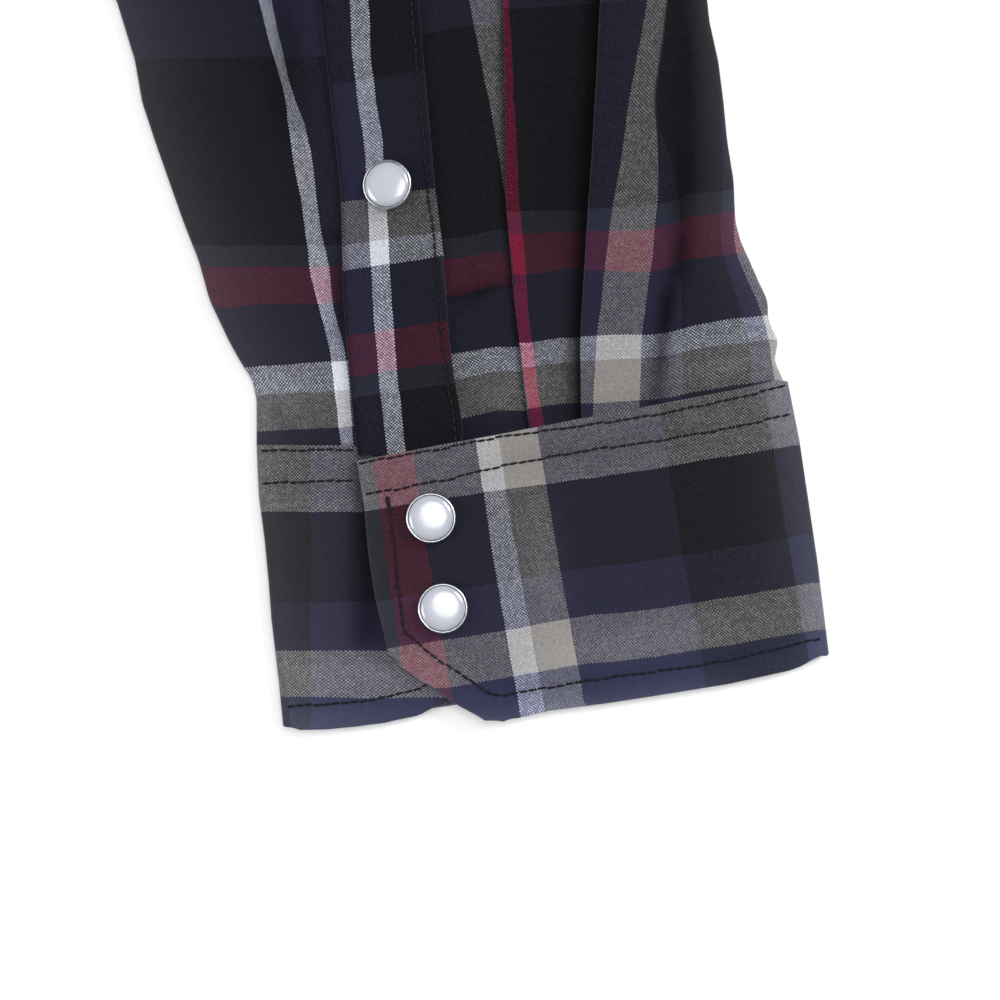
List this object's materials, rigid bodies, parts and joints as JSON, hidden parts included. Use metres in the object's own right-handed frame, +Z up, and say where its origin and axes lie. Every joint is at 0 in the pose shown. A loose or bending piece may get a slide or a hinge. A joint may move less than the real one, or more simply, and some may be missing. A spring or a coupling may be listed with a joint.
{
  "type": "western snap shirt, long-sleeved, laid flat",
  "caption": "Long-sleeved plaid western shirt laid flat on its back, snapped shut, with pointed yokes, mitred cuffs and both sleeves folded down at the elbow.",
  "frame": {"origin": "on the surface that the shirt lies on, below the middle of its box", "axes": "+Z up from the surface, out of the front; +Y towards the collar; +X towards the wearer's left sleeve"},
  "size_m": [1.1636, 0.8346, 0.033],
  "materials": {
    "plaid_cotton": "woven cotton plaid in black, navy, wine, beige and white",
    "snap_metal": "satin nickel rim",
    "snap_pearl": "milky pearl insert",
    "thread": "black sewing thread"
  },
  "bodies": {
    "root": {"back_panel": "plaid_cotton", "back_yoke": "plaid_cotton", "collar_leaf": "plaid_cotton", "collar_stand": "plaid_cotton", "cuff_left": "plaid_cotton", "cuff_right": "plaid_cotton", "front_left_panel": "plaid_cotton", "front_left_yoke": "plaid_cotton", "front_placket": "plaid_cotton", "front_right_panel": "plaid_cotton", "front_right_yoke": "plaid_cotton", "sleeve_left": "plaid_cotton", "sleeve_placket_left": "plaid_cotton", "sleeve_placket_right": "plaid_cotton", "sleeve_right": "plaid_cotton", "snap_collar_pearl": "snap_pearl", "snap_collar_rim": "snap_metal", "snap_cuff_left_1_pearl": "snap_pearl", "snap_cuff_left_1_rim": "snap_metal", "snap_cuff_left_2_pearl": "snap_pearl", "snap_cuff_left_2_rim": "snap_metal", "snap_cuff_right_1_pearl": "snap_pearl", "snap_cuff_right_1_rim": "snap_metal", "snap_cuff_right_2_pearl": "snap_pearl", "snap_cuff_right_2_rim": "snap_metal", "snap_front_1_pearl": "snap_pearl", "snap_front_1_rim": "snap_metal", "snap_front_2_pearl": "snap_pearl", "snap_front_2_rim": "snap_metal", "snap_front_3_pearl": "snap_pearl", "snap_front_3_rim": "snap_metal", "snap_front_4_pearl": "snap_pearl", "snap_front_4_rim": "snap_metal", "snap_front_5_pearl": "snap_pearl", "snap_front_5_rim": "snap_metal", "snap_front_6_pearl": "snap_pearl", "snap_front_6_rim": "snap_metal", "snap_front_7_pearl": "snap_pearl", "snap_front_7_rim": "snap_metal", "snap_placket_left_pearl": "snap_pearl", "snap_placket_left_rim": "snap_metal", "snap_placket_right_pearl": "snap_pearl", "snap_placket_right_rim": "snap_metal"}
  },
  "joints": []
}
